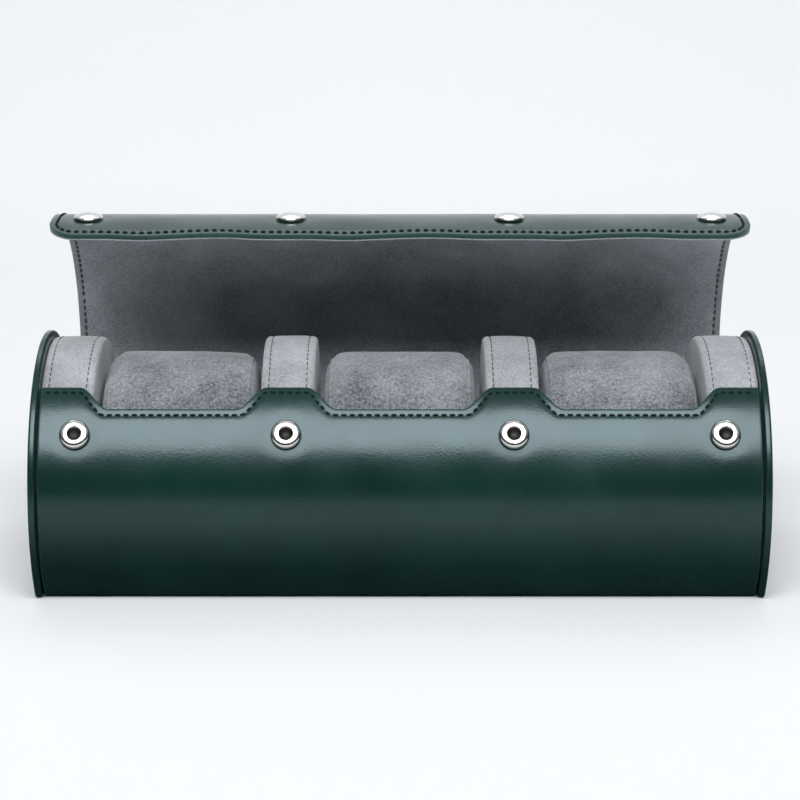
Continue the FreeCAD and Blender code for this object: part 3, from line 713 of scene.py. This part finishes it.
def flap_wave(x, u):
    """A gentle wave along the free edge, held flat at the snaps."""
    edge = smoothstep((u - FLAP_LENGTH + EDGE_WAVE_REACH) / EDGE_WAVE_REACH)
    from_snap = min(abs(x - snap_x) for snap_x in SNAP_PLACES)
    free = smoothstep((from_snap - SNAP_RADIUS - 1) / EDGE_WAVE_REACH)
    along_edge = EDGE_WAVE * edge * free * math.sin(x / 11.0 + 0.6)
    return along_edge + BODY_WAVE * wobble((x, u, 0), 26, 8.4)


def snap_setback():
    """The distance from the fold to the row of snaps, read from the caps."""
    low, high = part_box("snap_caps")
    middle = (low + high) / 2 / MM
    place = Vector((middle.y, middle.z))
    distances = [(point - place).length for point in PATH_POINTS]
    return distances.index(min(distances)) * PATH_STEP


def strip_of(u):
    """The number of the flap's piece at a place: 0 at the fold, 5 at the free edge."""
    return max(0, min(STRIPS, math.floor(u / STRIP_LENGTH + 0.5)))


def split_by_strip(bm):
    """Copies of a flat mesh, each with the faces of one piece of the flap."""
    pieces = []
    for number in range(STRIPS + 1):
        part = bm.copy()
        gone = [face for face in part.faces if strip_of(face.calc_center_median().y) != number]
        bmesh.ops.delete(part, geom=gone, context="FACES")
        pieces.append(part)
    return pieces


def hold_flap_piece(made, number, replaced=()):
    """Attach the flap's last piece to its strip and leave the others where they lie; each piece
    runs from the middle of one strip to the next.
    """
    def point(u):
        y, z = flap_path(u, -FLAP_THICKNESS / 2)
        return Vector((0, y, z)) * MM

    if number == STRIPS:
        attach(made, "flap_strip_%d" % number)
    elif number == 0:
        point(fold_start())
        point(STRIP_LENGTH / 2)
        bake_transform(made)
    else:
        point((number - 0.5) * STRIP_LENGTH)
        point((number + 0.5) * STRIP_LENGTH)
        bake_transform(made)
    if replaced and number > 0:
        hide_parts(*["flap_strip_%d_%s" % (number, layer) for layer in replaced])


def seam_route(start):
    """The flat places (x, u) of the seam round the flap's sides and free edge."""
    half = FLAP_WIDTH / 2
    corner_x, corner_u = half - FLAP_CORNER, FLAP_LENGTH - FLAP_CORNER
    radius = FLAP_CORNER - STITCH_INSET

    def corner(centre_x, first, last):
        return [(centre_x + radius * math.cos(math.radians(angle)),
                 corner_u + radius * math.sin(math.radians(angle)))
                for angle in steps(first, last, 6)[1:-1]]

    side = steps(start, corner_u, ROUTE_STEP)
    route = [(-half + STITCH_INSET, u) for u in side]
    route += corner(-corner_x, 180, 90)
    route += [(x, FLAP_LENGTH - STITCH_INSET) for x in steps(-corner_x, corner_x, ROUTE_STEP)]
    route += corner(corner_x, 90, 0)
    route += [(half - STITCH_INSET, u) for u in reversed(side)]
    return route


def flap_seam(face, depth, way, flat_route, material):
    """Stitches on one face of the flap, in one piece for each side of each of its pieces."""
    runs = {}
    for (x, u), (_, after_u) in zip(flat_route, flat_route[1:]):
        number = strip_of((u + after_u) / 2)
        side = "left" if x < 0 else "right"
        runs.setdefault((number, side if number < STRIPS else "edge"), []).append((x, u))
    for (number, side), places in runs.items():
        route = []
        for x, u in places:
            level = depth + flap_wave(x, u)
            y, z = flap_path(u, level)
            # Where the outer face is down on the floor there is no room for the thread.
            if z < 1.5 * THREAD_RADIUS:
                continue
            high_y, high_z = flap_path(u, level + way)
            route.append((Vector((x, y, z)), Vector((0, high_y - y, high_z - z)).normalized()))
        seam = stitches("flap_%s_stitching_%s_%d" % (face, side, number), route, material)
        hold_flap_piece(seam, number)


def flap():
    half = FLAP_WIDTH / 2
    start = fold_start()
    setback = snap_setback()
    leather_depth = FLAP_THICKNESS - LINING_THICKNESS

    def leather_place(x, u):
        return corner_place(x, u, half, FLAP_LENGTH, FLAP_CORNER)

    def bent_leather(x, u, depth):
        away = edge_distance(x, u, half, FLAP_LENGTH, FLAP_CORNER)
        press = SEAM_PRESS * bump(away - STITCH_INSET, SEAM_PRESS_WIDTH)
        press += snap_dimple(x, u, setback)
        above = 1 + depth / leather_depth
        y, z = flap_path(u, depth - above * press + flap_wave(x, u))
        return Vector((x, y, z))

    outside = plate(flap_columns(half), flap_rows(start, FLAP_LENGTH), leather_place,
                    leather_depth, EDGE_ROUND, own_edge=True)
    for number, part in enumerate(split_by_strip(outside)):
        bend_plate(part, bent_leather)
        made = finish_mesh("flap_leather_%d" % number, part, [GREEN, GREEN_EDGE])
        hold_flap_piece(made, number, ("leather", "board"))
    outside.free()

    # The suede inside stops a little short of the leather's edge.
    lining_half = half - FLAP_LINING_INSET
    lining_length = FLAP_LENGTH - FLAP_LINING_INSET

    def lining_place(x, u):
        return corner_place(x, u, lining_half, lining_length, FLAP_CORNER - FLAP_LINING_INSET)

    def bent_lining(x, u, depth):
        away = edge_distance(x, u, lining_half, lining_length, FLAP_CORNER)
        press = LINING_SEAM_PRESS * bump(away - STITCH_INSET, SEAM_PRESS_WIDTH)
        y, z = flap_path(u, depth - leather_depth + press + flap_wave(x, u))
        return Vector((x, y, z))

    inside = plate(flap_columns(lining_half), flap_rows(1.0, lining_length), lining_place,
                   LINING_THICKNESS, FLAP_LINING_ROUND)
    for face in inside.faces:
        middle = face.calc_center_median()
        away = edge_distance(middle.x, middle.y, lining_half, lining_length, FLAP_CORNER)
        if away < STITCH_INSET - 0.3:
            face.material_index = 1
    for number, part in enumerate(split_by_strip(inside)):
        bend_plate(part, bent_lining)
        made = finish_mesh("flap_suede_%d" % number, part, [FLAP_SUEDE_PAINTED_LIGHT, FLAP_BAND])
        hold_flap_piece(made, number, ("lining",))
    inside.free()

    # One seam round the sides and the free edge, seen on both faces.
    flat_route = seam_route(start)
    flap_seam("outer", -FLAP_THREAD_SINK, 1, flat_route, GREEN_THREAD)
    flap_seam("inner", LINING_THREAD_SINK - FLAP_THICKNESS, -1, flat_route, GREY_THREAD)


# The padded dividers: a crowned rim between two sewn side panels. Places across the rim are shares
# of half its thickness, from its middle (0) to a side face (1).
RIM_SHARES = (0, 0.2, 0.4, 0.55, 0.64, 0.69, 0.73, 0.77, 0.83, 0.9, 0.95, 0.985, 1)
RIM_CROWN = 0.35
RIM_SEAM_SHARE = 0.71
RIM_SEAM_DEPTH = 0.32
RIM_TURN_SHARE = 0.82
RIM_TURN = 1.3
PANEL_RING_INSET = 4.5


def divider_inset(share):
    """How far the divider draws in at a place across its rim: crown, seam and rounded corner."""
    crown = RIM_CROWN * share ** 2
    seam = RIM_SEAM_DEPTH * bump(share - RIM_SEAM_SHARE, 0.035)
    corner = 0.0
    if share > RIM_TURN_SHARE:
        turn = (share - RIM_TURN_SHARE) / (1 - RIM_TURN_SHARE)
        corner = RIM_TURN * (1 - math.sqrt(max(0.0, 1 - turn ** 2)))
    return crown + seam + corner


def divider(name, middle, seed):
    half = DIVIDER_THICKNESS / 2 - PAD_GAP
    stations = [(middle - half, PANEL_RING_INSET)]
    stations += [(middle - half * share, divider_inset(share)) for share in reversed(RIM_SHARES)]
    stations += [(middle + half * share, divider_inset(share)) for share in RIM_SHARES[1:]]
    stations += [(middle + half, PANEL_RING_INSET)]
    centre = (DIVIDER_BACK, DIVIDER_UP)
    foot = CENTRE_HEIGHT + DIVIDER_UP - FLOOR_TOP - PAD_GAP
    pad = footed_loft(name + "_pad", stations, DIVIDER_RADIUS, foot, FOOT_ROUND, centre,
                      [DIVIDER_SUEDE_PAINTED_LIGHT], seed, DIVIDER_SOFTNESS)
    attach(pad, "case")
    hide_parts(name + "_cover", name + "_core")

    # A seam on each side of the rim, over the top and down the back.
    inset = divider_inset(RIM_SEAM_SHARE) - 0.12
    outline = footed_outline(DIVIDER_RADIUS - inset, foot - inset, FOOT_ROUND, centre)
    for side, way in (("left", -1), ("right", 1)):
        x = middle + way * half * RIM_SEAM_SHARE
        route = []
        for y, z in outline[:int(len(outline) * 0.72)]:
            away = Vector((0, y - centre[0], z - centre[1] - CENTRE_HEIGHT)).normalized()
            route.append((Vector((x, y, z)), away))
        seam = stitches("%s_%s_seam" % (name, side), route, GREY_THREAD, DIVIDER_THREAD_RADIUS)
        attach(seam, "case")


# The pillows: closed crowned forms that are blown up a little as cloth, then sewn with piping.
# At each share of half the width the form draws in by a share of PILLOW_DRAW.
PILLOW_SHARES = (0, 0.4, 0.7, 0.86, 0.95, 1)
PILLOW_DRAW_SHARES = (0, 0.03, 0.1, 0.25, 0.52, 1)
PILLOW_DRAW = 2.2
PILLOW_START = 0.8
PILLOW_CAP = 1.1
PILLOW_ROUNDNESS = 0.88
PILLOW_VOXEL = 4.2
PILLOW_FRAMES = 20
PILLOW_PRESSURE = 4
PILLOW_SEAM_DEPTH = 0.5
PILLOW_SEAM_WIDTH = 1.3
PILLOW_HOLLOW = 0.3
PILLOW_RIPPLE = 0.16


def pillow_start_mesh(name, low, high):
    """The pillow before it swells, a little inside its CAD solid's box."""
    middle = (low + high) / 2
    half = (high - low) / 2 - Vector((PILLOW_START,) * 3)
    bm = bmesh.new()
    places = [-share for share in reversed(PILLOW_SHARES[1:])] + list(PILLOW_SHARES)
    draws = list(reversed(PILLOW_DRAW_SHARES[1:])) + list(PILLOW_DRAW_SHARES)
    loops = []
    for place, draw in zip(places, draws):
        inset = draw * PILLOW_DRAW
        loop = []
        for angle in range(0, 360, 6):
            cos, sin = math.cos(math.radians(angle)), math.sin(math.radians(angle))
            # A squarish oval: with an exponent of 1 it would be a plain ellipse.
            y = math.copysign(abs(cos) ** PILLOW_ROUNDNESS, cos) * (half.y - inset)
            z = math.copysign(abs(sin) ** PILLOW_ROUNDNESS, sin) * (half.z - inset)
            loop.append(bm.verts.new((middle.x + place * half.x, middle.y + y, middle.z + z)))
        loops.append(loop)
    for first, second in zip(loops, loops[1:]):
        bridge(bm, first, second)
    bm.faces.new(loops[0])
    bm.faces.new(loops[-1])
    return finish_mesh(name, bm, [PILLOW_SUEDE_PAINTED_SHADE])


def apply_modifiers(made):
    graph = bpy.context.evaluated_depsgraph_get()
    fresh = bpy.data.meshes.new_from_object(made.evaluated_get(graph))
    made.modifiers.clear()
    old = made.data
    made.data = fresh
    bpy.data.meshes.remove(old)
    for polygon in made.data.polygons:
        polygon.use_smooth = True


def swell(made):
    """Blow the pillow up as cloth for a few frames, with a cap on how far any point moves."""
    remesh = made.modifiers.new("remesh", "REMESH")
    remesh.mode = "VOXEL"
    remesh.voxel_size = PILLOW_VOXEL * MM
    apply_modifiers(made)
    before = [vert.co.copy() for vert in made.data.vertices]
    cloth = made.modifiers.new("cloth", "CLOTH")
    cloth.settings.use_pressure = True
    cloth.settings.uniform_pressure_force = PILLOW_PRESSURE
    cloth.settings.effector_weights.gravity = 0
    cloth.point_cache.frame_start = 1
    cloth.point_cache.frame_end = PILLOW_FRAMES
    for number in range(1, PILLOW_FRAMES + 1):
        bpy.context.scene.frame_set(number)
    apply_modifiers(made)
    bpy.context.scene.frame_set(1)
    limit = PILLOW_CAP * MM
    for vert, old in zip(made.data.vertices, before):
        move = vert.co - old
        if move.length > limit:
            vert.co = old + move.normalized() * limit


def shape_pillow(made, low, high, seed):
    """Press the sewn channels beside the side bands and some soft hollows into the pillow."""
    middle = (low + high) / 2
    seam_x = (high.x - low.x) / 2 - PIPING_INSET
    for vert in made.data.vertices:
        place = vert.co / MM
        away = Vector((0, place.y - middle.y, place.z - middle.z)).normalized()
        depth = PILLOW_SEAM_DEPTH * bump(abs(place.x - middle.x) - seam_x, PILLOW_SEAM_WIDTH)
        depth += PILLOW_HOLLOW * wobble(place, 17, seed)
        depth += PILLOW_RIPPLE * wobble(place, 6, seed)
        place -= away * depth
        for axis in range(3):
            place[axis] = max(low[axis] + PAD_GAP, min(high[axis] - PAD_GAP, place[axis]))
        vert.co = place * MM


def pillow_piping(slot, made, low, high):
    """Piping laid on the pillow's surface at both seams."""
    tree = BVHTree.FromPolygons([vert.co for vert in made.data.vertices],
                                [polygon.vertices[:] for polygon in made.data.polygons])
    middle = (low + high) / 2
    seam_x = (high.x - low.x) / 2 - PIPING_INSET
    across = Vector((1, 0, 0))
    for side, way in (("left", -1), ("right", 1)):
        centre = Vector((middle.x + way * seam_x, middle.y, middle.z)) * MM
        loop = []
        for angle in range(0, 360, 4):
            around = math.radians(angle)
            direction = Vector((0, math.cos(around), math.sin(around)))
            hit = tree.ray_cast(centre, direction)[0]
            if hit is not None:
                loop.append(hit / MM - direction * (PIPING_RADIUS / 4))
        bm = bmesh.new()
        rings = []
        for number, point in enumerate(loop):
            along = (loop[(number + 1) % len(loop)] - loop[number - 1]).normalized()
            rings.append(thread_ring(bm, point, across, along.cross(across), PIPING_RADIUS))
        for number, ring in enumerate(rings):
            bridge(bm, ring, rings[(number + 1) % len(rings)])
        piping = finish_mesh("%s_pillow_%s_piping" % (slot, side), bm, [PILLOW_SUEDE_PAINTED_SHADE])
        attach(piping, slot + "_pillow")


def pillow(slot, seed):
    low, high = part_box(slot + "_pillow_cover")
    low, high = low / MM, high / MM
    made = pillow_start_mesh(slot + "_pillow", low, high)
    swell(made)
    refine = made.modifiers.new("refine", "SUBSURF")
    refine.levels = 1
    refine.render_levels = 1
    apply_modifiers(made)
    shape_pillow(made, low, high, seed)
    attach(made, slot + "_pillow")
    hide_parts(slot + "_pillow_cover", slot + "_pillow_core")
    pillow_piping(slot, made, low, high)


# The snap sockets, turned with rounded rims; the other metal pieces keep their CAD shape. The
# profile is (radius, height above the leather), from the middle of the hole outwards; its first
# SOCKET_HOLE steps are the hole, whose metal is dull and painted nearly black: painted shade inside
# the hole.
SOCKET_PROFILE = ((0, 0.28), (2.75, 0.28), (2.75, 1.1), (2.15, 1.35), (2.12, 1.7), (2.26, 1.92),
                  (2.6, 2.0), (3.3, 1.98), (4.0, 1.83), (4.55, 1.45), (4.88, 0.85), (5, 0.4),
                  (4.92, 0.1), (4.7, 0))
SOCKET_HOLE = 3


def snap_sockets():
    lean = math.radians(SNAP_ANGLE)
    outward = Vector((0, -math.cos(lean), math.sin(lean)))
    up = Vector((0, math.sin(lean), math.cos(lean)))
    across = Vector((1, 0, 0))
    bm = bmesh.new()
    for x in SNAP_PLACES:
        foot = Vector((x, 0, CENTRE_HEIGHT)) + outward * SKIN_RADIUS
        rings = []
        for radius, height in SOCKET_PROFILE[1:]:
            ring = []
            for number in range(SOCKET_SIDES):
                angle = math.tau * number / SOCKET_SIDES
                around = across * math.cos(angle) + up * math.sin(angle)
                ring.append(bm.verts.new(foot + outward * height + around * radius))
            rings.append(ring)
        bm.faces.new(rings[0]).material_index = 1
        for number, (first, second) in enumerate(zip(rings, rings[1:])):
            bridge(bm, first, second, material=1 if number < SOCKET_HOLE else 0)
    made = finish_mesh("snap_socket_rings", bm, [NICKEL, HOLE_METAL_PAINTED_SHADE])
    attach(made, "case")
    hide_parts("snap_sockets")


def dress(node, material):
    """Give a CAD node that shows its own material."""
    data = frame["nodes"][node].data
    data.materials.clear()
    data.materials.append(material)
    for polygon in data.polygons:
        polygon.use_smooth = True


# Build the object.
OUTER_SLOT_X = INNER_DIVIDER_X + (DIVIDER_THICKNESS + OUTER_SLOT) / 2
END_DIVIDER_X = (INNER_LENGTH - DIVIDER_THICKNESS) / 2
end_disc("left", -1)
end_disc("right", 1)
front_wall()
slot_lining("left", -OUTER_SLOT_X, OUTER_SLOT)
slot_lining("middle", 0, MIDDLE_SLOT)
slot_lining("right", OUTER_SLOT_X, OUTER_SLOT)
flap()
divider("left_end_divider", -END_DIVIDER_X, 1.3)
divider("left_inner_divider", -INNER_DIVIDER_X, 4.7)
divider("right_inner_divider", INNER_DIVIDER_X, 7.9)
divider("right_end_divider", END_DIVIDER_X, 11.2)
pillow("left", 2.2)
pillow("middle", 5.6)
pillow("right", 9.1)
snap_sockets()
dress("snap_caps", NICKEL)
dress("snap_studs", NICKEL)
dress("snap_rivets", NICKEL)
dress("snap_spring_rings", SPRING_PAINTED_SHADE)


# The studio: a pale sweep, a large soft light above and in front, and a weaker one behind.
# Its sizes are in millimetres.
SWEEP_FRONT = -1500
SWEEP_BACK = 550
SWEEP_ROUND = 500
SWEEP_TOP = 2200
SWEEP_HALF_WIDTH = 2200


def graded(tree, low, high):
    """A value that runs from 0 to 1 between two places along Y, in metres."""
    split = add(tree, "ShaderNodeSeparateXYZ")
    tree.links.new(place_of(tree), split.inputs["Vector"])
    spread = add(tree, "ShaderNodeMapRange")
    spread.inputs["From Min"].default_value = low
    spread.inputs["From Max"].default_value = high
    tree.links.new(split.outputs["Y"], spread.inputs["Value"])
    return spread.outputs["Result"]


def studio_floor():
    bm = bmesh.new()
    profile = [(SWEEP_FRONT, 0), (SWEEP_BACK, 0)]
    for angle in steps(-90, 0, 6)[1:]:
        turn = math.radians(angle)
        profile.append((SWEEP_BACK + SWEEP_ROUND * math.cos(turn),
                        SWEEP_ROUND + SWEEP_ROUND * math.sin(turn)))
    profile.append((SWEEP_BACK + SWEEP_ROUND, SWEEP_TOP))
    rows = []
    for y, z in profile:
        rows.append([bm.verts.new((x, y, z)) for x in (-SWEEP_HALF_WIDTH, SWEEP_HALF_WIDTH)])
    for first, second in zip(rows, rows[1:]):
        bridge(bm, first, second, closed=False)
    material, tree, shader = new_material("studio_sweep")
    # Darker towards the light in front, so that the whole floor looks equally pale.
    shade = ramp(tree, graded(tree, -0.4, 0.7), ((0.0, (0.57, 0.575, 0.581)),
                                                 (0.25, (0.72, 0.725, 0.732)),
                                                 (1.0, (0.93, 0.935, 0.945))))
    tree.links.new(shade, shader.inputs["Base Color"])
    shader.inputs["Roughness"].default_value = 0.9
    made = finish_mesh("studio_sweep", bm, [material])


def area_light(name, place, target, width, height, power, colour):
    data = bpy.data.lights.new(name, "AREA")
    data.shape = "RECTANGLE"
    data.size = width
    data.size_y = height
    data.energy = power
    data.color = colour
    light = bpy.data.objects.new(name, data)
    light.location = place
    light.rotation_euler = (Vector(target) - Vector(place)).to_track_quat("-Z", "Y").to_euler()
    bpy.context.scene.collection.objects.link(light)


def floor_card():
    """A grey card on the floor that only reflections see: a painted reflection of a darker floor,
    darker towards the case's foot as a painted shadow of the case.
    """
    bm = bmesh.new()
    corners = ((-300, -600, 0.4), (300, -600, 0.4), (300, -38, 0.4), (-300, -38, 0.4))
    bm.faces.new([bm.verts.new(corner) for corner in corners])
    material, tree, shader = new_material("floor_card")
    shade = ramp(tree, graded(tree, -0.120, -0.052), ((0.0, (0.56,) * 3), (0.55, (0.30,) * 3),
                                                      (1.0, (0.02,) * 3)))
    tree.links.new(shade, shader.inputs["Base Color"])
    shader.inputs["Roughness"].default_value = 1
    card = finish_mesh("floor_card", bm, [material])
    card.visible_camera = False
    card.visible_diffuse = False
    card.visible_shadow = False


studio_floor()
floor_card()
area_light("key", (0, -0.83, 1.10), (0, 0, 0.03), 1.25, 0.78, 23, (0.97, 0.99, 1.0))
area_light("back", (0, 0.9, 1.35), (0, 0, 0.05), 1.4, 0.6, 5, (1.0, 0.99, 0.97))


def studio_world():
    """Soft light from above that fades to dark at eye level."""
    world = bpy.data.worlds.new("studio")
    bpy.context.scene.world = world
    world.use_nodes = True
    tree = world.node_tree
    background = tree.nodes["Background"]
    split = add(tree, "ShaderNodeSeparateXYZ")
    tree.links.new(add(tree, "ShaderNodeTexCoord").outputs["Generated"], split.inputs["Vector"])
    shade = ramp(tree, split.outputs["Z"],
                 ((0.0, (0.03, 0.035, 0.038)), (0.30, (0.05, 0.055, 0.06)),
                  (0.55, (0.55, 0.57, 0.60)), (1.0, (0.62, 0.64, 0.66))))
    tree.links.new(shade, background.inputs["Color"])
    background.inputs["Strength"].default_value = 0.6


studio_world()

# The camera stands at the angle and distance of the photograph's first view.
VIEW_ELEVATION = math.radians(16.1)
VIEW_DISTANCE = 0.85
VIEW_LENS = 112
VIEW_AIM = Vector((0, 0, 0.057))


def studio_camera():
    data = bpy.data.cameras.new("camera")
    data.lens = VIEW_LENS
    camera = bpy.data.objects.new("camera", data)
    bpy.context.scene.collection.objects.link(camera)
    bpy.context.scene.camera = camera
    disc_centre = Vector((0, 0, CENTRE_HEIGHT * MM))
    toward = Vector((0, -math.cos(VIEW_ELEVATION), math.sin(VIEW_ELEVATION)))
    camera.location = disc_centre + toward * VIEW_DISTANCE
    camera.rotation_euler = (VIEW_AIM - camera.location).to_track_quat("-Z", "Y").to_euler()


studio_camera()

bpy.context.scene.view_settings.view_transform = "Standard"
